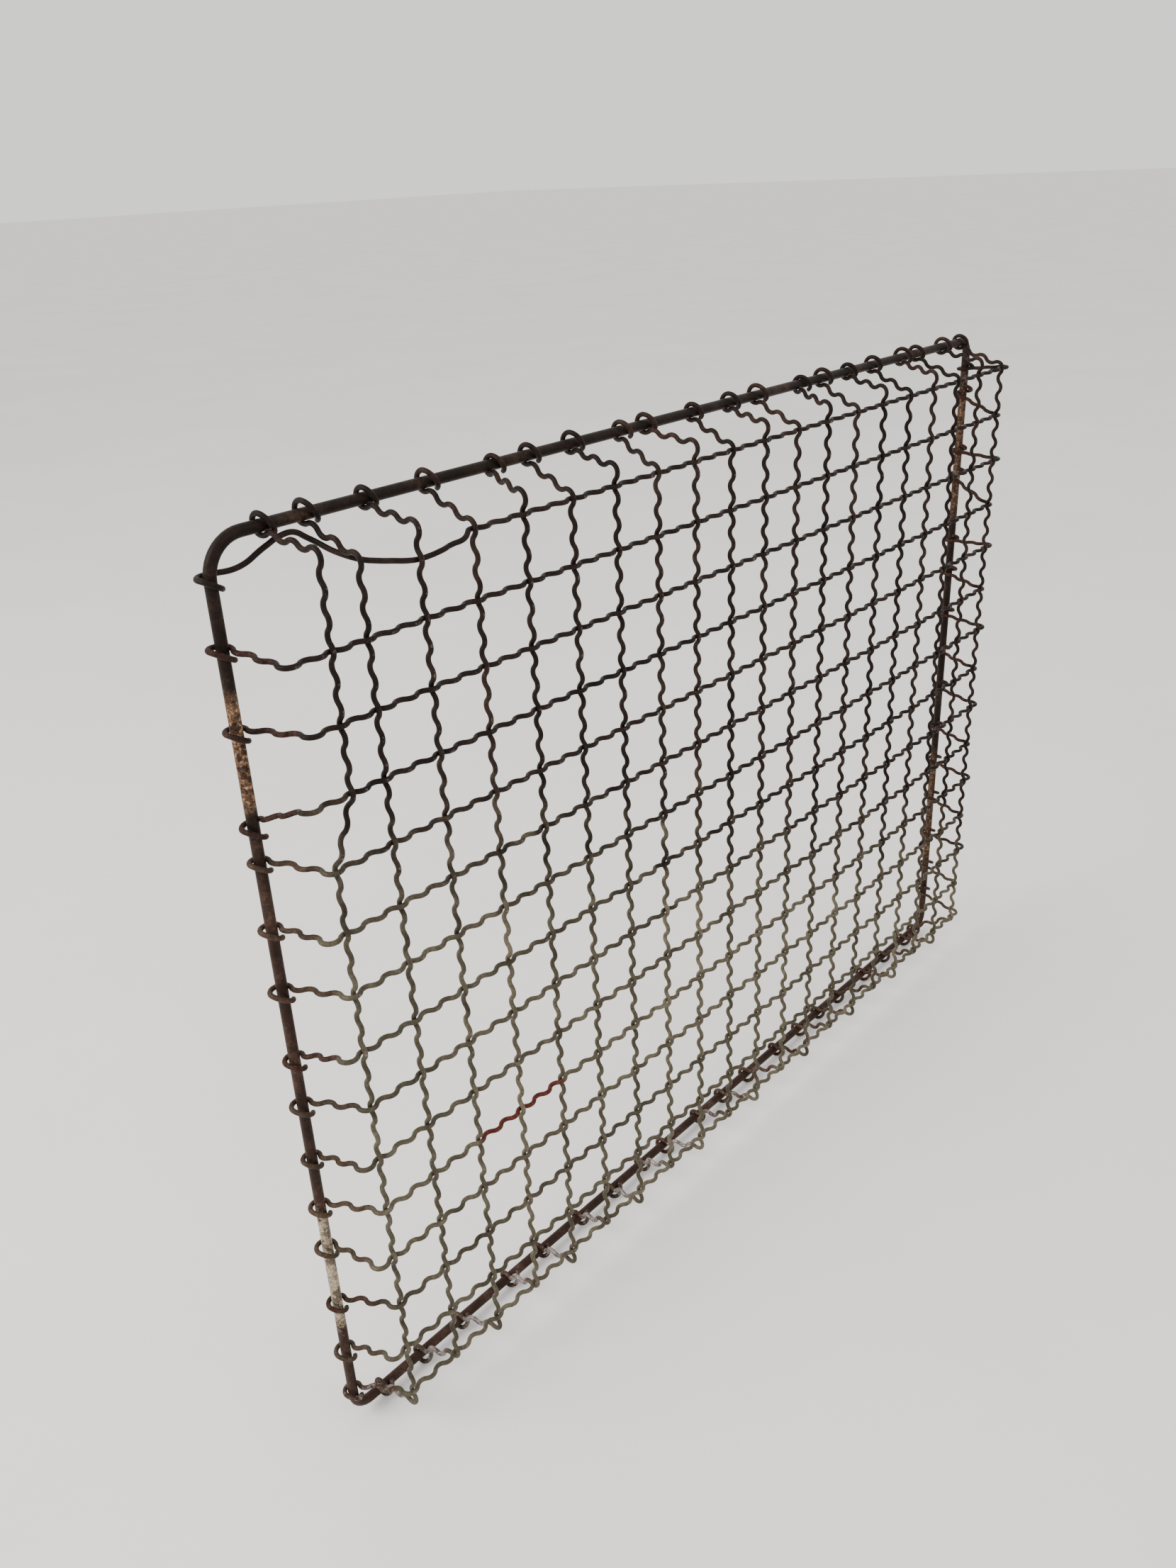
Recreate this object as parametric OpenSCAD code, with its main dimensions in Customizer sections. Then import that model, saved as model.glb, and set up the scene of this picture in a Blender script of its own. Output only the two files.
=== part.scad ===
// Wire drying tray for dishes, standing on one long side.
// A closed rim of round iron rod carries a shallow basket woven from crimped wires.
// Each wire crosses the flat mesh, bends into the side wall and hooks round the rim.
// Millimetres. +X along the tray, +Y from the mesh to the open rim, +Z up.

/* [Rim] */
// Length of the rim between rod centres
rim_length = 595; // [560:1:630]
// Height of the rim between rod centres
rim_height = 457; // [430:1:490]
// Thickness of the rim rod
rim_rod = 5.2; // [4:0.1:8]
// Corner radius at the near top corner
corner_near_top = 16; // [8:1:24]
// Corner radius at the near bottom corner
corner_near_bottom = 10; // [8:1:24]
// Corner radius at the far top corner
corner_far_top = 8; // [8:1:24]
// Corner radius at the far bottom corner
corner_far_bottom = 10; // [8:1:24]

/* [Mesh] */
// Spacing of the wires, both ways
pitch = 30.05; // [28:0.05:32]
// Thickness of the mesh wire
wire = 2.4; // [1.6:0.1:2.4]
// Distance from the mesh to the rim
depth = 29; // [20:1:60]
// How far the mesh lies off the middle of the rim along X
mesh_off_x = 4.5; // [0:0.5:6]
// How far the mesh lies off the middle of the rim along Z
mesh_off_z = 2.5; // [0:0.5:6]

/* [Walls and loops] */
// Radius of the bend between mesh and wall
bend_radius = 4; // [3:0.5:6]
// Smallest gap between a loop and the rim rod
loop_slack = 0.25; // [0.1:0.05:0.5]
// Lean of the cut end beside its own wire, in degrees
tail_lean = 30; // [15:1:40]
// How far the cut end goes on round the rod, in degrees
tail_wrap = 150; // [90:5:160]

/* [Hidden] */
$fn = 40;
cross_count = 20;
long_count = 15;
// Waves of crimp between two crossings, counted in half waves
crimps = 5;
half = pitch / crimps;
// A half wave is one arc of 88.6288 degrees. At 6.01 long its radius is 4.30149 and its centre
// lies 3.07779 off the wire's middle line, so that neighbouring arcs meet face to face.
arc_angle = 44.3144;
crest_height = (4.30149 - 3.07779) * half / 6.01;
// How far each loop sits to one side of its wire's place in the mesh
top_loops = [8, -2, -2, 1, 11, 3, 2, 8, -4, 5, 7, 2, 16, 8, 6, 4, 10, -3, 2, -4];
bottom_loops = [1, -2, -4, 5, 2, 6, 6, 5, -3, 3, 0, -1, 5, 5, 0, -4, 5, 5, 7, -7];
near_loops = [1.5, 4, 0, -12, 2, 0, -1, -8, -3, -4, -3, 2, -5, -8, -7];
far_loops = [-3, 12, 3, 17, 0, 7, 6, 7, 9, 6, 8, 7, 4, 5, 11];
// Cross wire 1 has slid two half waves inwards above long wire 5
slip = 2 * half;
slip_row = 5;
// Long wire 1 has come out of the mesh beyond cross wire 4. Points from the middle of the mesh.
stray_end = [[-201.5, -1, 208.1], [-207.5, 1, 206.4], [-213.5, -0.6, 206], [-219.5, 0.8, 204.8],
    [-225.4, 1.5, 204.6], [-231.5, 1.2, 205.6], [-237.5, 1.4, 207], [-244, 1.9, 208.5],
    [-251, 4, 210.4], [-255.9, 12, 213.1], [-260.4, 23, 218.1], [-265, 25.5, 221.2],
    [-271, 26.5, 220.8], [-277, 27.5, 218.2], [-288.5, 30, 212.5]];
stray_in = [-0.95, 0.3, -0.04];
// Room for the widest loop below the rim
outside = rim_rod / 2 + wire + 2 * loop_slack + 1.15;
base = rim_height / 2 + outside;
mesh_y = -(depth + 3.42) / 2;
rim_y = mesh_y + depth;
X = [1, 0, 0];
Y = [0, 1, 0];
Z = [0, 0, 1];

function unit(v) = v / norm(v);
function turn(a, b) = acos(max(-1, min(1, a * b)));
// Wires are counted from the near side along X, and from the top down along Z
function wire_x(i) = mesh_off_x + (i - (cross_count + 1) / 2) * pitch;
function wire_z(j) = base + mesh_off_z + ((long_count + 1) / 2 - j) * pitch;
function slack(i) = loop_slack + 0.15 * (i * 7 % 5);

// A path is a list of stations, each a point and a direction, with one arc between two stations
function step(s, to, radius) = [s[0] + 2 * radius * sin(turn(s[1], to) / 2) * unit(s[1] + to), to];
// The middle station of two arcs that join stations a and b smoothly
function biarc(a, b) = let (v = b[0] - a[0], t = a[1] + b[1], k = 2 * (1 - a[1] * b[1]),
    r = (v * v) / (2 * (v * t)),
    d = k < 0.001 ? r : (sqrt(pow(v * t, 2) + k * (v * v)) - v * t) / k)
    [(a[0] + b[0] + d * (a[1] - b[1])) / 2, unit((b[0] - d * b[1]) - (a[0] + d * a[1]))];

// A loop goes round the rod at c from its inner side. o points out of the tray, g is the slack.
function loop_radius(g) = (rim_rod + wire) / 2 + g;
function loop_mid(te, o) = let (b = cross(Y, o), a = atan2(te * o, te * Y) / 2 + 90, t = (te * b) / 2)
    unit(sqrt(1 - t * t) * (sin(a) * o + cos(a) * Y) + t * b);
function loop_start(te, o, c, g) = let (a = step([[0, 0, 0], te], loop_mid(te, o), loop_radius(g)),
    e = step(a, -Y, loop_radius(g))) c + loop_radius(g) * o - e[0];
function loop_path(te, o, c, g, lean) = let (
    s = [loop_start(te, o, c, g), te],
    s1 = step(s, loop_mid(te, o), loop_radius(g)),
    s2 = step(s1, -Y, loop_radius(g)),
    q = -cos(tail_lean) * o + lean * sin(tail_lean) * cross(Y, o),
    s3 = step(s2, -cos(tail_wrap) * Y + sin(tail_wrap) * q, 1.12 * loop_radius(g)))
    [s, s1, s2, s3];

// Directions in a wall wire that runs along u, and its length from the bend at s to its loop
function wall_dir(u, o) = unit(cross(u, cross(Y, o)));
function wall_start(u, o) = cos(arc_angle) * u + sin(arc_angle) * wall_dir(u, o);
function aim(s, o, c, g, u, n) = let (te = wall_start(u, o),
    v = loop_start(te, o, c, g) - step(s, te, bend_radius)[0]) n == 0 ? v : aim(s, o, c, g, unit(v), n - 1);
// Centres of the loops on the four sides of the rim. A loop hangs out by its slack, less on a slanting wire.
function hang(i, shift) = slack(i) - 0.08 - 0.0025 * shift * shift;
function top_loop(i) = let (d = top_loops[i - 1])
    [wire_x(i) + d, rim_y, base + rim_height / 2 + hang(i, d)];
function bottom_loop(i) = let (d = bottom_loops[i - 1])
    [wire_x(i) + d, rim_y, base - rim_height / 2 - hang(i, d)];
function near_loop(j) = let (d = near_loops[j - 1]) [-rim_length / 2 - hang(j, d), rim_y, wire_z(j) + d];
function far_loop(j) = let (d = far_loops[j - 1]) [rim_length / 2 + hang(j, d), rim_y, wire_z(j) + d];

// A wire whose outer crossing lies on its rim side makes one more half wave before it bends
function extra(side) = side > 0 ? 1 : 0;

// The station half a wave beyond a crossing at p, along f, where t is the side of the last crest
function mesh_end(p, f, t) =
    [[p[0], mesh_y, p[2]] + half / 2 * f, cos(arc_angle) * f - t * sin(arc_angle) * Y];
function back(s) = [s[0], -s[1]];
function crest_side(t, k) = k % 2 == 0 ? t : -t;
function smooth(p) = [for (k = [1 : len(p) - 2]) [p[k], unit(unit(p[k + 1] - p[k]) + unit(p[k] - p[k - 1]))]];
function linked(s) = [for (k = [0 : len(s) - 1]) each k == 0 ? [s[0]] : [biarc(s[k - 1], s[k]), s[k]]];

// A ball in the joint at station s, with its poles along the wire
module ball(s) {
    z = s[1];
    x = unit(cross(z, abs(z[2]) < 0.9 ? Z : X));
    y = cross(z, x);
    multmatrix([[x[0], y[0], z[0], s[0][0]], [x[1], y[1], z[1], s[0][1]], [x[2], y[2], z[2], s[0][2]],
        [0, 0, 0, 1]]) sphere(d = 1.02 * wire);
}

// One arc of wire between stations a and b
module arc(a, b) {
    bend = turn(a[1], b[1]);
    n = unit(b[1] - (a[1] * b[1]) * a[1]);
    r = norm(b[0] - a[0]) / (2 * sin(bend / 2));
    z = cross(-n, a[1]);
    o = a[0] + r * n;
    multmatrix([[-n[0], a[1][0], z[0], o[0]], [-n[1], a[1][1], z[1], o[1]], [-n[2], a[1][2], z[2], o[2]],
        [0, 0, 0, 1]]) rotate_extrude(angle = bend) translate([r, 0]) circle(d = wire);
}

// Arcs with a ball at every station but the last, joined two and two
module run(path, first = 0, last = -1) {
    end = last < 0 ? len(path) - 2 : last;
    mid = floor((first + end) / 2);
    union() {
        if (first < end) {
            run(path, first, mid);
            run(path, mid + 1, end);
        } else {
            arc(path[first], path[first + 1]);
            ball(path[first]);
        }
    }
}

// Places a wire drawn along X, with its waves in Y, to run from p along f with its waves along w
module along(p, f, w, scale) {
    n = cross(f, w);
    multmatrix([[scale * f[0], scale * w[0], scale * n[0], p[0]],
        [scale * f[1], scale * w[1], scale * n[1], p[1]],
        [scale * f[2], scale * w[2], scale * n[2], p[2]], [0, 0, 0, 1]]) children();
}

// Half waves first to last, each one arc and 6.01 long, where half wave 0 lies on side t
module waves(first, last, t, thickness) {
    for (k = [first : last]) {
        side = crest_side(t, k);
        multmatrix([[1, 0, 0, 6.01 * k], [0, side, 0, -3.07779 * side], [0, 0, side, 0], [0, 0, 0, 1]])
            rotate_extrude(start = 45.6856, angle = 88.6288) translate([4.30149, 0]) circle(d = thickness);
    }
}

module mesh_run(p, f, t, first, last) {
    along([p[0], mesh_y, p[2]], f, Y, half / 6.01) waves(first, last, t, wire * 6.01 / half);
}

// A wire's side wall: it bends out of the mesh at s, runs in two waves and ends in a loop
module wall(s, o, c, g, lean) {
    v = aim(s, o, c, g, unit(c - s[0]), 12);
    u = unit(v);
    scale = norm(v) / 4 / 6.01;
    s1 = step(s, wall_start(u, o), bend_radius);
    run([s, s1]);
    union() {
        along(s1[0] + norm(v) / 8 * u, u, wall_dir(u, o), scale) waves(0, 3, 1, wire / scale);
        ball(s1);
    }
    run(loop_path(wall_start(u, o), o, c, g, lean));
}

module rim_side(a, b) {
    z = unit(b - a);
    x = cross(Y, z);
    multmatrix([[x[0], 0, z[0], a[0]], [0, 1, 0, a[1]], [x[2], 0, z[2], a[2]], [0, 0, 0, 1]])
        cylinder(d = rim_rod, h = norm(b - a));
}

// A corner of radius r at the rod centres' corner (x, z)
module rim_corner(x, z, r) {
    sx = sign(x);
    sz = sign(z);
    translate([x - sx * r, rim_y, base + z - sz * r])
        multmatrix([[sx, 0, 0, 0], [0, 0, -sx * sz, 0], [0, sz, 0, 0], [0, 0, 0, 1]])
        rotate_extrude(angle = 90) translate([r, 0]) circle(d = rim_rod);
}

module rim_rod() {
    x = rim_length / 2;
    z = rim_height / 2;
    color("#4a3328") {
        rim_side([corner_near_top - x, rim_y, base + z], [x - corner_far_top, rim_y, base + z]);
        rim_side([corner_near_bottom - x, rim_y, base - z], [x - corner_far_bottom, rim_y, base - z]);
        rim_side([-x, rim_y, base - z + corner_near_bottom], [-x, rim_y, base + z - corner_near_top]);
        rim_side([x, rim_y, base - z + corner_far_bottom], [x, rim_y, base + z - corner_far_top]);
        rim_corner(-x, z, corner_near_top);
        rim_corner(-x, -z, corner_near_bottom);
        rim_corner(x, z, corner_far_top);
        rim_corner(x, -z, corner_far_bottom);
    }
}

// Where cross wire 1 changes place, from crest k on
function slipped(low, t, k) = let (
    a = mesh_end(low + k * half * Z, Z, crest_side(t, k)),
    b = back(mesh_end(low + slip * X + (k + crimps) * half * Z, -Z, crest_side(t, k + crimps))),
    p = [for (m = [1 : crimps - 1]) low + slip * m / crimps * X + (k + m) * half * Z
        + crest_side(t, k + m) * crest_height * Y])
    linked(concat([a], smooth(concat([a[0]], p, [b[0]])), [b]));

// Cross wires run up the tray, from the bottom of the rim to the top
module cross_wire(i) {
    t = i % 2 == 0 ? -1 : 1;
    n = (long_count - 1) * crimps;
    k = (long_count - slip_row) * crimps;
    low = [wire_x(i), mesh_y, wire_z(long_count)];
    high = low + n * half * Z + (i == 1 ? slip : 0) * X;
    past = extra(t) * half * Z;
    color("#52453c") {
        if (i == 1) {
            mesh_run(low, Z, t, -extra(t), k);
            mesh_run(low + slip * X, Z, t, k + crimps, n + extra(t));
            run(slipped(low, t, k));
            ball(mesh_end(low + slip * X + (k + crimps - 1) * half * Z, Z, -crest_side(t, k + crimps)));
        } else mesh_run(low, Z, t, -extra(t), n + extra(t));
        wall(mesh_end(high + past, Z, -1), Z, top_loop(i), slack(i), 1);
        wall(mesh_end(low - past, -Z, -1), -Z, bottom_loop(i), slack(i), -1);
    }
}

// The loose end of long wire 1, from station s to its loop on the near side of the rim
function stray_path(s) = let (
    te = unit(stray_in),
    e = loop_path(te, -X, near_loop(1), slack(1), -1),
    p = [for (q = stray_end) q + [mesh_off_x, mesh_y, base + mesh_off_z]],
    w = linked(concat([s], smooth(concat([s[0]], p, [e[0][0]])), [e[0]])))
    concat(w, [for (k = [1 : len(e) - 1]) e[k]]);

// Long wires run along the tray, from the near side of the rim to the far side
module long_wire(j) {
    t = j % 2 == 0 ? 1 : -1;
    n = (cross_count - 1) * crimps;
    first = j == 1 ? 3 * crimps : -extra(t);
    last = n + extra(crest_side(t, n));
    near = [wire_x(1), mesh_y, wire_z(j)];
    color("#3f3934") {
        mesh_run(near, X, t, first, last);
        wall(mesh_end(near + last * half * X, X, -1), X, far_loop(j), slack(j), -1);
        if (j == 1) run(stray_path(mesh_end(near + first * half * X, -X, crest_side(t, first))));
        else wall(mesh_end(near + first * half * X, -X, -1), -X, near_loop(j), slack(j), -1);
    }
}

module cross_wire_01() cross_wire(1);
module cross_wire_02() cross_wire(2);
module cross_wire_03() cross_wire(3);
module cross_wire_04() cross_wire(4);
module cross_wire_05() cross_wire(5);
module cross_wire_06() cross_wire(6);
module cross_wire_07() cross_wire(7);
module cross_wire_08() cross_wire(8);
module cross_wire_09() cross_wire(9);
module cross_wire_10() cross_wire(10);
module cross_wire_11() cross_wire(11);
module cross_wire_12() cross_wire(12);
module cross_wire_13() cross_wire(13);
module cross_wire_14() cross_wire(14);
module cross_wire_15() cross_wire(15);
module cross_wire_16() cross_wire(16);
module cross_wire_17() cross_wire(17);
module cross_wire_18() cross_wire(18);
module cross_wire_19() cross_wire(19);
module cross_wire_20() cross_wire(20);
module long_wire_01() long_wire(1);
module long_wire_02() long_wire(2);
module long_wire_03() long_wire(3);
module long_wire_04() long_wire(4);
module long_wire_05() long_wire(5);
module long_wire_06() long_wire(6);
module long_wire_07() long_wire(7);
module long_wire_08() long_wire(8);
module long_wire_09() long_wire(9);
module long_wire_10() long_wire(10);
module long_wire_11() long_wire(11);
module long_wire_12() long_wire(12);
module long_wire_13() long_wire(13);
module long_wire_14() long_wire(14);
module long_wire_15() long_wire(15);

rim_rod();
cross_wire_01();
cross_wire_02();
cross_wire_03();
cross_wire_04();
cross_wire_05();
cross_wire_06();
cross_wire_07();
cross_wire_08();
cross_wire_09();
cross_wire_10();
cross_wire_11();
cross_wire_12();
cross_wire_13();
cross_wire_14();
cross_wire_15();
cross_wire_16();
cross_wire_17();
cross_wire_18();
cross_wire_19();
cross_wire_20();
long_wire_01();
long_wire_02();
long_wire_03();
long_wire_04();
long_wire_05();
long_wire_06();
long_wire_07();
long_wire_08();
long_wire_09();
long_wire_10();
long_wire_11();
long_wire_12();
long_wire_13();
long_wire_14();
long_wire_15();
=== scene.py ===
"""Looks for the wire drying tray: crimped wires, the rim rod, iron materials, light and camera."""
import math
import random
import bpy
import numpy as np
from mathutils import Matrix
from mathutils import Vector


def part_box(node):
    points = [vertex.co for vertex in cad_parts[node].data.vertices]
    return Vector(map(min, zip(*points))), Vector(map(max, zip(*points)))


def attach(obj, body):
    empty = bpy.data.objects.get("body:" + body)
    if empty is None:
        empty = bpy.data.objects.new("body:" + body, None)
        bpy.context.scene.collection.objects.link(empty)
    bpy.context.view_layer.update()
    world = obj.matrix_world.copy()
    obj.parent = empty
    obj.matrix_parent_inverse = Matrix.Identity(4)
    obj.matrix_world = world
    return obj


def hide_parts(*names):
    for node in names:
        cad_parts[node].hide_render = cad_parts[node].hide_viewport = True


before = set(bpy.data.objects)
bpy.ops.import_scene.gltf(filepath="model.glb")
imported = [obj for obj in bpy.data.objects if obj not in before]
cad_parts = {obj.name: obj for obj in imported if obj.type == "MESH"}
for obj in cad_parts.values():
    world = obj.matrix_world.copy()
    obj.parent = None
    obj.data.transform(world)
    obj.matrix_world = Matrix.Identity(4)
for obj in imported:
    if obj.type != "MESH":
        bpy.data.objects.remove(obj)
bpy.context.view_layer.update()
MM = 0.001

# ---- Sizes, in millimetres, the same as in the CAD part -----------------------------------------
PITCH = 30.05
WIRE = 2.4
ROD = 5.2
DEPTH = 29.0
CROSS = 20
LONG = 15
CRIMPS = 5
HALF = PITCH / CRIMPS
# The arc of one half wave: half its angle, its radius, and how far its centre lies from the mesh plane
ARC_ANGLE = math.radians(44.3144)
ARC_RADIUS = 4.30149
ARC_CENTRE = 3.07779
MESH_OFF = (4.5, 2.5)
BEND_RADIUS = 4.0
LOOP_SLACK = 0.25
SLACK_STEP = 0.15
SLACK_KINDS = 5
HANG_FIT = 0.08
HANG_PULL = 0.0025
TAIL_LEAN = math.radians(30)
TAIL_WRAP = math.radians(150)
TAIL_OPEN = 1.12
WALL_WAVES = 4
AIM_ROUNDS = 13
# How far each loop sits from its own wire, towards +X on the long sides and +Z on the short ones
TOP_LOOPS = [8, -2, -2, 1, 11, 3, 2, 8, -4, 5, 7, 2, 16, 8, 6, 4, 10, -3, 2, -4]
BOTTOM_LOOPS = [1, -2, -4, 5, 2, 6, 6, 5, -3, 3, 0, -1, 5, 5, 0, -4, 5, 5, 7, -7]
NEAR_LOOPS = [1.5, 4, 0, -12, 2, 0, -1, -8, -3, -4, -3, 2, -5, -8, -7]
FAR_LOOPS = [-3, 12, 3, 17, 0, 7, 6, 7, 9, 6, 8, 7, 4, 5, 11]
# Cross wire 1 has slipped sideways by this much above this long wire
SLIP = 2 * HALF
SLIP_ROW = 5
# The loose end of long wire 1, measured from the middle of the mesh, and how it enters its loop
STRAY_END = [(-201.5, -1, 208.1), (-207.5, 1, 206.4), (-213.5, -0.6, 206), (-219.5, 0.8, 204.8),
             (-225.4, 1.5, 204.6), (-231.5, 1.2, 205.6), (-237.5, 1.4, 207), (-244, 1.9, 208.5),
             (-251, 4, 210.4), (-255.9, 12, 213.1), (-260.4, 23, 218.1), (-265, 25.5, 221.2),
             (-271, 26.5, 220.8), (-277, 27.5, 218.2), (-288.5, 30, 212.5)]
STRAY_IN = (-0.95, 0.3, -0.04)
CORNERS = {"near_top": 16, "near_bottom": 10, "far_top": 8, "far_bottom": 10}

# The rim's own box says where the rod's centre line is
rim_low, rim_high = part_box("rim_rod")
RIM_X = (rim_high[0] - rim_low[0]) / 2 / MM - ROD / 2
RIM_Z = (rim_high[2] - rim_low[2]) / 2 / MM - ROD / 2
RIM_Y = (rim_high[1] + rim_low[1]) / 2 / MM
BASE = (rim_high[2] + rim_low[2]) / 2 / MM
MESH_Y = RIM_Y - DEPTH

X = np.array([1.0, 0.0, 0.0])
Y = np.array([0.0, 1.0, 0.0])
Z = np.array([0.0, 0.0, 1.0])


def unit(v):
    """v scaled to length 1."""
    return v / np.linalg.norm(v)


def turn(a, b):
    """Angle between two unit vectors."""
    return math.acos(max(-1.0, min(1.0, float(a @ b))))


def wire_x(i):
    return MESH_OFF[0] + (i - (CROSS + 1) / 2) * PITCH


def wire_z(j):
    return BASE + MESH_OFF[1] + ((LONG + 1) / 2 - j) * PITCH


def slack(i):
    """How loosely the loops of wire i go round the rod."""
    return LOOP_SLACK + SLACK_STEP * (i * 7 % SLACK_KINDS)


# ---- Paths: lists of stations, each a point and a direction, one arc between two stations ---------
def step(s, to, radius):
    """The station reached from s by an arc of this radius that ends in direction to."""
    return (s[0] + 2 * radius * math.sin(turn(s[1], to) / 2) * unit(s[1] + to), to)


def chord(s, to, length):
    """The station reached from s by an arc with a chord of this length that ends in direction to."""
    return (s[0] + length * unit(s[1] + to), to)


def biarc(a, b):
    """The station where two arcs meet that join a to b smoothly."""
    v = b[0] - a[0]
    t = a[1] + b[1]
    k = 2 * (1 - a[1] @ b[1])
    vt = v @ t
    d = (v @ v) / (2 * vt) if k < 0.001 else (math.sqrt(vt * vt + k * (v @ v)) - vt) / k
    return ((a[0] + b[0] + d * (a[1] - b[1])) / 2, unit((b[0] - d * b[1]) - (a[0] + d * a[1])))


def loop_radius(g):
    """Radius of the centre line of a loop with slack g."""
    return (ROD + WIRE) / 2 + g


def loop_mid(te, o):
    """Direction between the first two arcs of a loop entered along te on side o of the rim."""
    b = np.cross(Y, o)
    a = math.atan2(te @ o, te @ Y) / 2 + math.pi / 2
    t = (te @ b) / 2
    return unit(math.sqrt(1 - t * t) * (math.sin(a) * o + math.cos(a) * Y) + t * b)


def loop_start(te, o, c, g):
    """Where a loop starts whose outermost point lies on side o of c."""
    a = step((np.zeros(3), te), loop_mid(te, o), loop_radius(g))
    e = step(a, -Y, loop_radius(g))
    return c + loop_radius(g) * o - e[0]


def loop_path(te, o, c, g, lean):
    """Stations of a loop round the rod, to its cut end, which leans along the rod."""
    s = (loop_start(te, o, c, g), te)
    s1 = step(s, loop_mid(te, o), loop_radius(g))
    s2 = step(s1, -Y, loop_radius(g))
    q = -math.cos(TAIL_LEAN) * o + lean * math.sin(TAIL_LEAN) * np.cross(Y, o)
    s3 = step(s2, -math.cos(TAIL_WRAP) * Y + math.sin(TAIL_WRAP) * q, TAIL_OPEN * loop_radius(g))
    return [s, s1, s2, s3]


def wall_dir(u, o):
    """The direction in which the waves of a wall that runs along u swing."""
    return unit(np.cross(u, np.cross(Y, o)))


def wall_start(u, o):
    """The direction in which a wave of that wall starts."""
    return math.cos(ARC_ANGLE) * u + math.sin(ARC_ANGLE) * wall_dir(u, o)


def wall_path(s, o, c, g, lean):
    """Stations from the end of the mesh at s, along a waved wall and round the rod at c."""
    u = unit(c - s[0])
    for _ in range(AIM_ROUNDS):
        te = wall_start(u, o)
        v = loop_start(te, o, c, g) - step(s, te, BEND_RADIUS)[0]
        u = unit(v)
    h = np.linalg.norm(v) / WALL_WAVES
    te = wall_start(u, o)
    tm = math.cos(ARC_ANGLE) * u - math.sin(ARC_ANGLE) * wall_dir(u, o)
    s1 = step(s, te, BEND_RADIUS)
    s2 = chord(s1, tm, h)
    s3 = chord(s2, te, h)
    s4 = chord(s3, tm, h)
    return [s, s1, s2, s3, s4] + loop_path(te, o, c, g, lean)


def hang(i, shift):
    """How far the middle of a loop of wire i lies outside the centre line of the rod."""
    return slack(i) - HANG_FIT - HANG_PULL * shift * shift


def top_loop(i):
    d = TOP_LOOPS[i - 1]
    return np.array([wire_x(i) + d, RIM_Y, BASE + RIM_Z + hang(i, d)])


def bottom_loop(i):
    d = BOTTOM_LOOPS[i - 1]
    return np.array([wire_x(i) + d, RIM_Y, BASE - RIM_Z - hang(i, d)])


def near_loop(j):
    d = NEAR_LOOPS[j - 1]
    return np.array([-RIM_X - hang(j, d), RIM_Y, wire_z(j) + d])


def far_loop(j):
    d = FAR_LOOPS[j - 1]
    return np.array([RIM_X + hang(j, d), RIM_Y, wire_z(j) + d])


def side_of(t, k):
    """Side of crest k of a wire whose crest 0 is on side t."""
    return t if k % 2 == 0 else -t


def mesh_end(p, f, t):
    """The station half way from the crest at p, on side t, to the next crest along f."""
    q = np.array([p[0], MESH_Y, p[2]]) + HALF / 2 * f
    return (q, math.cos(ARC_ANGLE) * f - t * math.sin(ARC_ANGLE) * Y)


def crimped(p, f, t, first, last):
    """Stations of the mesh from half a wave before crest first to half a wave after crest last."""
    start = mesh_end(p + (first - 1) * HALF * f, f, side_of(t, first - 1))
    return [start] + [mesh_end(p + k * HALF * f, f, side_of(t, k)) for k in range(first, last + 1)]


def smooth(points):
    """Stations at all but the first and last point, each heading between its neighbours."""
    out = []
    for a, b, c in zip(points, points[1:], points[2:]):
        out.append((b, unit(unit(c - b) + unit(b - a))))
    return out


def linked(stations):
    """The same stations, with the meeting point of a biarc between each two."""
    out = [stations[0]]
    for a, b in zip(stations, stations[1:]):
        out += [biarc(a, b), b]
    return out


def backwards(path):
    """The same path, run from its other end."""
    return [(p, -d) for p, d in reversed(path)]


def slipped(low, t, k):
    """The stretch in which cross wire 1 moves sideways by SLIP over one opening."""
    a = mesh_end(low + k * HALF * Z, Z, side_of(t, k))
    p, d = mesh_end(low + SLIP * X + (k + CRIMPS) * HALF * Z, -Z, side_of(t, k + CRIMPS))
    rise = ARC_RADIUS - ARC_CENTRE
    mid = [low + SLIP * m / CRIMPS * X + (k + m) * HALF * Z + side_of(t, k + m) * rise * Y
           for m in range(1, CRIMPS)]
    return linked([a] + smooth([a[0]] + mid + [p]) + [(p, -d)])


def extra(side):
    """Half waves added so that a wire leaves the mesh from a crest on its outer side."""
    return 1 if side > 0 else 0


def cross_path(i):
    """Stations of cross wire i, from its lower cut end to its upper one."""
    t = -1 if i % 2 == 0 else 1
    n = (LONG - 1) * CRIMPS
    k = (LONG - SLIP_ROW) * CRIMPS
    low = np.array([wire_x(i), MESH_Y, wire_z(LONG)])
    high = low + n * HALF * Z + (SLIP if i == 1 else 0) * X
    past = extra(t) * HALF * Z
    if i == 1:
        mesh = crimped(low, Z, t, -extra(t), k) + slipped(low, t, k)[1:-1]
        mesh += crimped(low + SLIP * X, Z, t, k + CRIMPS, n + extra(t))
    else:
        mesh = crimped(low, Z, t, -extra(t), n + extra(t))
    up = wall_path(mesh_end(high + past, Z, -1), Z, top_loop(i), slack(i), 1)
    down = wall_path(mesh_end(low - past, -Z, -1), -Z, bottom_loop(i), slack(i), -1)
    return backwards(down)[:-1] + mesh + up[1:]


def stray_path(s):
    """Stations of the loose near end of long wire 1, from s round the rod."""
    te = unit(np.array(STRAY_IN))
    e = loop_path(te, -X, near_loop(1), slack(1), -1)
    off = np.array([MESH_OFF[0], MESH_Y, BASE + MESH_OFF[1]])
    p = [np.array(q) + off for q in STRAY_END]
    return linked([s] + smooth([s[0]] + p + [e[0][0]]) + [e[0]]) + e[1:]


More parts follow.
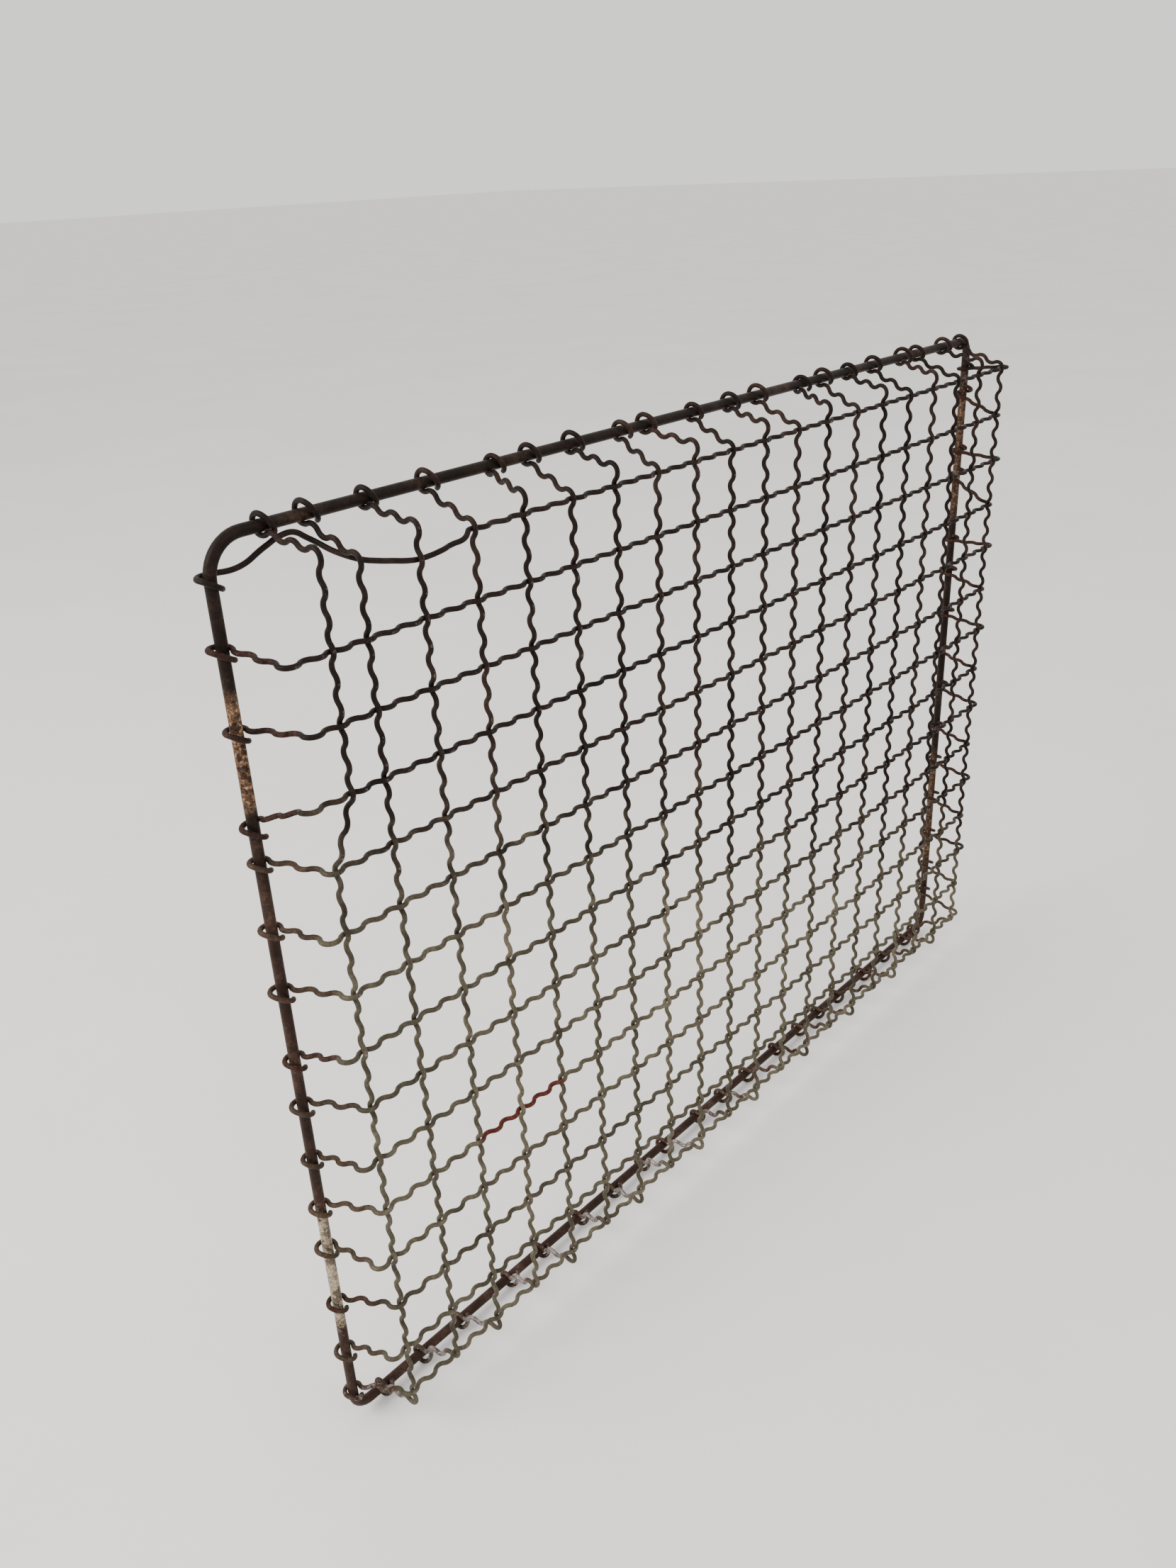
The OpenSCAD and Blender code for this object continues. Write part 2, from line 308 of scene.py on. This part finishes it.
def long_path(j):
    """Stations of long wire j, from its near cut end to its far one."""
    t = 1 if j % 2 == 0 else -1
    n = (CROSS - 1) * CRIMPS
    first = 3 * CRIMPS if j == 1 else -extra(t)
    last = n + extra(side_of(t, n))
    near = np.array([wire_x(1), MESH_Y, wire_z(j)])
    far = wall_path(mesh_end(near + last * HALF * X, X, -1), X, far_loop(j), slack(j), -1)
    if j == 1:
        start = stray_path(mesh_end(near + first * HALF * X, -X, side_of(t, first)))
    else:
        start = wall_path(mesh_end(near + first * HALF * X, -X, -1), -X, near_loop(j), slack(j), -1)
    return backwards(start)[:-1] + crimped(near, X, t, first, last) + far[1:]


# ---- Meshes ---------------------------------------------------------------------------------------
STRAIGHT = 1e-4
STRAIGHT_PACE = 8
WIDEST_TURN = math.radians(14)
CHAMFER = 0.8
CHAMFER_DEPTH = 0.1
# A direction that no path starts along
ASLANT = [0.31, 0.52, 0.79]


def arc_points(a, b, pace):
    """Points and directions along the arc from station a to station b, without its last point."""
    bend = turn(a[1], b[1])
    gap = np.linalg.norm(b[0] - a[0])
    if bend < STRAIGHT:
        n = max(1, math.ceil(gap / (STRAIGHT_PACE * pace)))
        return [(a[0] + (b[0] - a[0]) * k / n, a[1]) for k in range(n)]
    side = unit(b[1] - (a[1] @ b[1]) * a[1])
    r = gap / (2 * math.sin(bend / 2))
    o = a[0] + r * side
    n = max(3, math.ceil(r * bend / pace), math.ceil(bend / WIDEST_TURN))
    out = []
    for k in range(n):
        v = bend * k / n
        out.append((o - r * math.cos(v) * side + r * math.sin(v) * a[1],
                    math.cos(v) * a[1] + math.sin(v) * side))
    return out


def sampled(path, pace, closed=False):
    """Points and directions along a path, close together on its arcs and wide apart on its straights."""
    out = []
    for a, b in zip(path, path[1:]):
        out += arc_points(a, b, pace)
    if not closed:
        out.append(path[-1])
    return out


def swept(name, points, radius, sides, closed, marks):
    """A rod of the given radius along points, with chamfered ends. marks gives each named attribute."""
    count = len(points)
    side = unit(np.cross(points[0][1], ASLANT))
    rings = []
    normals = []
    angles = 2 * math.pi * np.arange(sides) / sides
    cos = np.cos(angles)[:, None]
    sin = np.sin(angles)[:, None]
    for p, d in points:
        side = unit(side - (side @ d) * d)
        ring = cos * side + sin * np.cross(d, side)
        normals += list(ring)
        rings.append((p + radius * ring) * MM)
    verts = [v for ring in rings for v in ring]
    faces = []
    for r in range(count if closed else count - 1):
        s = (r + 1) % count
        shift = 0
        if closed and s == 0:
            gaps = [np.linalg.norm(rings[r][0] - rings[0][k]) for k in range(sides)]
            shift = int(np.argmin(gaps))
        for k in range(sides):
            m = (k + 1) % sides
            faces.append((r * sides + k, r * sides + m,
                          s * sides + (m + shift) % sides, s * sides + (k + shift) % sides))
    ring_of = [r for r in range(count) for _ in range(sides)]
    if not closed:
        for r, out in ((0, -1), (count - 1, 1)):
            p, d = points[r]
            start = len(verts)
            for k in range(sides):
                w = normals[r * sides + k]
                verts.append((p + CHAMFER * radius * w + out * CHAMFER_DEPTH * d) * MM)
                normals.append(w)
                ring_of.append(r)
            for k in range(sides):
                m = (k + 1) % sides
                quad = (r * sides + k, r * sides + m, start + m, start + k)
                faces.append(quad if out > 0 else quad[::-1])
            cap = tuple(range(start, start + sides))
            faces.append(cap if out > 0 else cap[::-1])
    mesh = bpy.data.meshes.new(name)
    mesh.from_pydata([tuple(v) for v in verts], [], faces)
    mesh.validate()
    mesh.shade_smooth()
    for label, values in marks(points, np.array(ring_of), np.array(normals)).items():
        data = mesh.attributes.new(label, "FLOAT", "POINT")
        data.data.foreach_set("value", np.asarray(values, dtype=np.float32))
    obj = bpy.data.objects.new(name, mesh)
    bpy.context.scene.collection.objects.link(obj)
    return obj


def soft(v, low, high):
    """0 below low, 1 above high and smooth in between."""
    t = np.clip((v - low) / (high - low), 0, 1)
    return t * t * (3 - 2 * t)


OLIVE_SLANT = 0.53
CREST_WEAR = 0.3
WALL_WEAR = 0.15
# Strength of the painted highlight on the wires of the lowest wall, which stands for window light.
FOOT_HIGHLIGHT = 0.42
WALL_RUST = 0.35


def slanted_height(p):
    """Share of the tray's height, from -0.5 to 0.5, slanted so that olive reaches higher at the near end."""
    return (p[:, 2] - BASE) / (2 * RIM_Z) + OLIVE_SLANT * p[:, 0] / (2 * RIM_X)


def wire_marks(red_at, base_rust, tone):
    """Attributes of a wire: rubbed crests, a painted highlight on the lowest wall, rust, a red stretch and
    tone, from where each point lies.
    """
    def marks(points, ring_of, normals):
        p = np.array([q for q, _ in points])[ring_of]
        out = normals @ np.array([0.0, -1.0, 0.0])
        front = soft(MESH_Y - p[:, 1], 0.35, 1.15) * soft(out, 0.25, 0.95)
        in_wall = soft(p[:, 1] - MESH_Y, 2.5, 9)
        in_loop = soft(p[:, 1] - RIM_Y, -7, -2)
        low = soft(BASE - 205 - p[:, 2], 0, 12)
        high = soft(p[:, 2] - BASE, 195, 212)
        # Where the painted window highlight on the lowest wall is full: it fades off between wires 8 and 13.
        sunny = 1 - 0.75 * soft(p[:, 0], wire_x(8), wire_x(13))
        rust = base_rust + WALL_RUST * in_wall * (1 - 0.7 * high)
        red = soft(p[:, 0], red_at[0] - 3, red_at[0] + 3)
        red = red * (1 - soft(p[:, 0], red_at[1] - 3, red_at[1] + 3))
        wear_and_highlight = CREST_WEAR * front + WALL_WEAR * in_wall * (1 - high)
        # Painted highlight on the wires of the lowest wall: pale silver standing for window light, weaker in
        # the loops and fading towards the far end.
        wear_and_highlight += FOOT_HIGHLIGHT * low * in_wall * (1 - 0.7 * in_loop) * sunny
        return {"wear_and_highlight": np.clip(wear_and_highlight, 0, 1), "rust": np.clip(rust, 0, 1), "red": red,
                "tone": np.full(len(p), tone), "height": slanted_height(p)}
    return marks


def rim_marks(points, ring_of, normals):
    """Attributes of the rim: rubbed patches on its upright sides, brown rust elsewhere."""
    p = np.array([q for q, _ in points])[ring_of]
    h = (p[:, 2] - BASE) / (2 * RIM_Z)
    near = soft(-p[:, 0], RIM_X - 6, RIM_X - 2)
    far = soft(p[:, 0], RIM_X - 6, RIM_X - 2)
    tan = near * soft(h, 0.262, 0.29) * (1 - soft(h, 0.34, 0.38))
    tan += 0.27 * far * soft(h, 0.22, 0.3) * (1 - soft(h, 0.42, 0.46))
    tan += 0.25 * far * soft(-h, 0.14, 0.2) * (1 - soft(-h, 0.34, 0.4))
    pale = 0.6 * near * soft(-h, 0.195, 0.215) * (1 - soft(-h, 0.37, 0.395))
    return {"wear_and_highlight": np.clip(pale, 0, 1), "rust": np.clip(0.15 + tan, 0, 1), "red": np.zeros(len(p)),
            "tone": np.full(len(p), 0.3), "height": slanted_height(p)}


# ---- Materials -------------------------------------------------------------------------------------
class Nodes:
    """A short way to write a node tree."""

    def __init__(self, name):
        self.material = bpy.data.materials.new(name)
        self.material.use_nodes = True
        self.tree = self.material.node_tree
        self.shader = self.tree.nodes["Principled BSDF"]
        self.place = self.tree.nodes.new("ShaderNodeTexCoord").outputs["Object"]

    def link(self, a, b):
        self.tree.links.new(a, b)

    def noise(self, scale, detail=4.0, rough=0.55, offset=(0, 0, 0)):
        shift = self.tree.nodes.new("ShaderNodeMapping")
        shift.inputs["Location"].default_value = offset
        self.link(self.place, shift.inputs["Vector"])
        n = self.tree.nodes.new("ShaderNodeTexNoise")
        n.inputs["Scale"].default_value = scale
        n.inputs["Detail"].default_value = detail
        n.inputs["Roughness"].default_value = rough
        self.link(shift.outputs["Vector"], n.inputs["Vector"])
        return n.outputs["Fac"]

    def ramp(self, value, stops):
        r = self.tree.nodes.new("ShaderNodeValToRGB")
        while len(r.color_ramp.elements) < len(stops):
            r.color_ramp.elements.new(0.5)
        for e, (at, color) in zip(r.color_ramp.elements, stops):
            e.position = at
            e.color = tuple(color) + (1.0,)
        self.link(value, r.inputs["Fac"])
        return r.outputs["Color"]

    def spread(self, value, low, high, to_low=0.0, to_high=1.0):
        m = self.tree.nodes.new("ShaderNodeMapRange")
        m.interpolation_type = "SMOOTHSTEP"
        ends = {"From Min": low, "From Max": high, "To Min": to_low, "To Max": to_high}
        for label, number in ends.items():
            m.inputs[label].default_value = number
        self.link(value, m.inputs["Value"])
        return m.outputs["Result"]

    def math(self, kind, a, b):
        m = self.tree.nodes.new("ShaderNodeMath")
        m.operation = kind
        for slot, v in enumerate((a, b)):
            if isinstance(v, (int, float)):
                m.inputs[slot].default_value = v
            else:
                self.link(v, m.inputs[slot])
        return m.outputs[0]

    def mix(self, factor, a, b):
        m = self.tree.nodes.new("ShaderNodeMix")
        m.data_type = "RGBA"
        self.link(factor, m.inputs[0])
        for slot, v in ((6, a), (7, b)):
            if isinstance(v, tuple):
                m.inputs[slot].default_value = v + (1.0,)
            else:
                self.link(v, m.inputs[slot])
        return m.outputs[2]

    def dimmed(self, color, amount):
        """color times a number near 1."""
        m = self.tree.nodes.new("ShaderNodeHueSaturation")
        self.link(color, m.inputs["Color"])
        self.link(amount, m.inputs["Value"])
        return m.outputs["Color"]

    def mark(self, label):
        a = self.tree.nodes.new("ShaderNodeAttribute")
        a.attribute_name = label
        return a.outputs["Fac"]

    def bump(self, height, strength, distance):
        b = self.tree.nodes.new("ShaderNodeBump")
        b.inputs["Strength"].default_value = strength
        b.inputs["Distance"].default_value = distance
        self.link(height, b.inputs["Height"])
        self.link(b.outputs["Normal"], self.shader.inputs["Normal"])


CRIMSON = ((0.030, 0.005, 0.004), (0.078, 0.013, 0.009), (0.125, 0.030, 0.020))


def old_iron(name, skin, olive, rust, bare_and_highlight, shift):
    """Old unpainted iron: brown-black that turns olive towards the bottom, rust in patches, rubbed spots,
    and a painted highlight on the wires of the lowest wall.
    """
    n = Nodes(name)
    patches = n.noise(60, 5, 0.6, (shift, 0, 0))
    grain = n.noise(620, 6, 0.65, (0, shift, 0))
    fine = n.noise(2100, 3, 0.6, (0, 0, shift))
    mottle = n.math("ADD", n.math("MULTIPLY", patches, 0.65), n.math("MULTIPLY", grain, 0.35))
    # Brown-black higher up, olive-grey towards the bottom and the near end, mixed by slanted height below.
    top_colour = n.ramp(mottle, [(0.32, skin[0]), (0.5, skin[1]), (0.66, skin[2])])
    low_colour = n.ramp(mottle, [(0.32, olive[0]), (0.5, olive[1]), (0.66, olive[2])])
    drop = n.math("SUBTRACT", n.math("MULTIPLY", patches, 0.3), n.mark("height"))
    color = n.mix(n.spread(drop, 0.08, 0.35), top_colour, low_colour)
    toned = n.math("ADD", n.math("MULTIPLY", n.mark("tone"), 0.5), 0.75)
    rust_edge = n.math("SUBTRACT", n.math("ADD", n.mark("rust"), n.math("MULTIPLY", patches, 0.6)), 0.45)
    rusted = n.spread(rust_edge, 0.0, 0.5)
    red = n.ramp(grain, [(0.34, rust[0]), (0.52, rust[1]), (0.68, rust[2])])
    color = n.mix(rusted, color, red)
    crimson = n.ramp(grain, [(0.34, CRIMSON[0]), (0.52, CRIMSON[1]), (0.68, CRIMSON[2])])
    color = n.mix(n.math("MULTIPLY", n.mark("red"), 0.95), color, crimson)
    wear_and_highlight_edge = n.math("SUBTRACT", n.math("ADD", n.mark("wear_and_highlight"), n.math("MULTIPLY", grain, 1.1)), 0.85)
    wear_and_highlight = n.spread(wear_and_highlight_edge, 0.0, 0.4)
    flakes = n.noise(230, 4, 0.6, (shift, shift, 0))
    flaked = n.math("MULTIPLY", n.spread(flakes, 0.5, 0.57),
                    n.math("MAXIMUM", wear_and_highlight, n.spread(n.mark("rust"), 0.5, 0.8)))
    # The pale colour is rubbed bare metal, and on the wires of the lowest wall a painted highlight.
    pale = n.ramp(fine, [(0.35, bare_and_highlight[0]), (0.6, bare_and_highlight[1])])
    color = n.mix(n.math("MULTIPLY", wear_and_highlight, 0.85), color, pale)
    color = n.mix(n.math("MULTIPLY", flaked, 0.8), color, skin[1])
    dots = n.math("MULTIPLY", n.spread(fine, 0.54, 0.66), 0.55)
    color = n.mix(dots, color, skin[0])
    n.link(n.dimmed(color, toned), n.shader.inputs["Base Color"])
    metal = n.math("SUBTRACT", n.math("ADD", n.math("MULTIPLY", wear_and_highlight, 0.45), 0.13),
                   n.math("MULTIPLY", rusted, 0.1))
    n.link(metal, n.shader.inputs["Metallic"])
    rough = n.math("SUBTRACT", n.math("ADD", n.math("MULTIPLY", grain, 0.4),
                                      n.math("MULTIPLY", rusted, 0.2)), n.math("MULTIPLY", wear_and_highlight, 0.15))
    n.link(n.math("ADD", rough, 0.24), n.shader.inputs["Roughness"])
    n.shader.inputs["Specular IOR Level"].default_value = 0.08
    n.bump(n.math("ADD", n.math("MULTIPLY", grain, 0.7), n.math("MULTIPLY", fine, 0.3)), 0.5, 0.0004)
    return n.material


def plain_floor(name):
    """A pale, faintly mottled matt surface."""
    n = Nodes(name)
    tone = n.ramp(n.noise(3.0, 5, 0.6), [(0.3, (0.80, 0.79, 0.77)), (0.7, (0.85, 0.84, 0.82))])
    n.link(tone, n.shader.inputs["Base Color"])
    n.link(n.spread(n.noise(40, 3, 0.5), 0.3, 0.7, 0.55, 0.7), n.shader.inputs["Roughness"])
    n.bump(n.noise(260, 4, 0.6), 0.12, 0.0006)
    return n.material


# ---- The tray --------------------------------------------------------------------------------------
random.seed(4)
RED_WIRE = 11
RED_STRETCH = (wire_x(3), wire_x(5))
NO_STRETCH = (1000, 2000)
RIM_PACE = 2.5
RIM_SIDES = 20
pace = 0.9
sides = 14
TAN = ((0.66, 0.56, 0.42), (0.42, 0.33, 0.22))
SILVER = ((0.50, 0.44, 0.42), (0.27, 0.22, 0.21))
OLIVE = ((0.032, 0.027, 0.018), (0.078, 0.066, 0.044), (0.155, 0.135, 0.094))
BLACK = ((0.006, 0.004, 0.003), (0.015, 0.009, 0.007), (0.036, 0.022, 0.016))
DARK_RUST = ((0.016, 0.007, 0.005), (0.044, 0.018, 0.013), (0.092, 0.042, 0.029))
TAN_RUST = ((0.030, 0.013, 0.008), (0.150, 0.080, 0.045), (0.480, 0.340, 0.220))
LOW_RIM = ((0.012, 0.007, 0.005), (0.034, 0.018, 0.013), (0.070, 0.040, 0.030))
rim_iron = old_iron("rim_iron", BLACK, LOW_RIM, TAN_RUST, TAN, 0.0)
cross_iron = old_iron("cross_wire_iron", BLACK, OLIVE, DARK_RUST, SILVER, 1.7)
long_iron = old_iron("long_wire_iron", BLACK, OLIVE, DARK_RUST, SILVER, 3.9)


def show(obj, node, material):
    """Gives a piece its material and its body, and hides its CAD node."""
    obj.data.materials.append(material)
    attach(obj, "root")
    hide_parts(node)


def rim_path():
    """Stations round the rim: along the top, down the far side, back along the bottom and up."""
    stations = []
    for sx, sz, label, before, after in (
            (1, 1, "far_top", X, -Z), (1, -1, "far_bottom", -Z, -X),
            (-1, -1, "near_bottom", -X, Z), (-1, 1, "near_top", Z, X)):
        corner = np.array([sx * RIM_X, RIM_Y, BASE + sz * RIM_Z])
        r = CORNERS[label]
        stations += [(corner - r * before, before), (corner + r * after, after)]
    return stations + [stations[0]]


rim = swept("rim", sampled(rim_path(), RIM_PACE, closed=True), ROD / 2, RIM_SIDES, True, rim_marks)
show(rim, "rim_rod", rim_iron)
for i in range(1, CROSS + 1):
    marks = wire_marks(NO_STRETCH, 0.05 + 0.15 * random.random(), random.random())
    wire = swept("cross_%02d" % i, sampled(cross_path(i), pace), WIRE / 2, sides, False, marks)
    show(wire, "cross_wire_%02d" % i, cross_iron)
for j in range(1, LONG + 1):
    red = RED_STRETCH if j == RED_WIRE else NO_STRETCH
    marks = wire_marks(red, 0.05 + 0.12 * random.random(), random.random())
    wire = swept("long_%02d" % j, sampled(long_path(j), pace), WIRE / 2, sides, False, marks)
    show(wire, "long_wire_%02d" % j, long_iron)

# ---- Floor, light and camera -----------------------------------------------------------------------
scene = bpy.context.scene
bpy.ops.mesh.primitive_grid_add(x_subdivisions=8, y_subdivisions=8, size=60, location=(0, 0, 0))
floor = bpy.context.object
floor.name = "floor"
floor.data.materials.append(plain_floor("pale_floor"))

world = bpy.data.worlds.new("studio")
scene.world = world
world.use_nodes = True
sky = world.node_tree.nodes["Background"]
sky.inputs["Color"].default_value = (1.0, 0.99, 0.97, 1.0)
sky.inputs["Strength"].default_value = 1.2


def area_light(name, place, aim_at, width, height, watts, color):
    """A rectangular lamp at place that points at aim_at."""
    data = bpy.data.lights.new(name, "AREA")
    data.shape = "RECTANGLE"
    data.size = width
    data.size_y = height
    data.energy = watts
    data.color = color
    obj = bpy.data.objects.new(name, data)
    scene.collection.objects.link(obj)
    obj.location = place
    obj.rotation_euler = (Vector(aim_at) - Vector(place)).to_track_quat("-Z", "Y").to_euler()
    return obj


area_light("window", (-1.9, 0.7, 1.7), (0, 0, 0.2), 1.6, 1.3, 62, (1.0, 0.97, 0.92))
area_light("room", (0.6, -2.6, 2.6), (0, 0, 0.2), 2.6, 2.0, 34, (1.0, 0.99, 0.97))

# The camera looks along the tray from its near end, from above
CAMERA_FROM_MIDDLE = np.array([-549.04, -383.50, 341.77]) * PITCH / 30
LENS = 29.524
SENSOR = 36
AZIMUTH = math.radians(47.298)
ELEVATION = math.radians(-25.652)
ROLL = math.radians(-2.787)
forward = np.array([math.sin(AZIMUTH) * math.cos(ELEVATION), math.cos(AZIMUTH) * math.cos(ELEVATION),
                    math.sin(ELEVATION)])
right = np.array([math.cos(AZIMUTH), -math.sin(AZIMUTH), 0.0])
up = np.cross(right, forward)
tilted_right = math.cos(ROLL) * right + math.sin(ROLL) * up
tilted_up = math.cos(ROLL) * up - math.sin(ROLL) * right
mesh_middle = np.array([MESH_OFF[0], MESH_Y, BASE + MESH_OFF[1]])
place = (mesh_middle + CAMERA_FROM_MIDDLE) * MM
lens = bpy.data.cameras.new("camera")
lens.sensor_fit = "AUTO"
lens.sensor_width = SENSOR
lens.lens = LENS
lens.clip_start = 0.01
camera = bpy.data.objects.new("camera", lens)
scene.collection.objects.link(camera)
camera.matrix_world = Matrix([
    (tilted_right[0], tilted_up[0], -forward[0], place[0]),
    (tilted_right[1], tilted_up[1], -forward[1], place[1]),
    (tilted_right[2], tilted_up[2], -forward[2], place[2]),
    (0, 0, 0, 1)])
scene.camera = camera

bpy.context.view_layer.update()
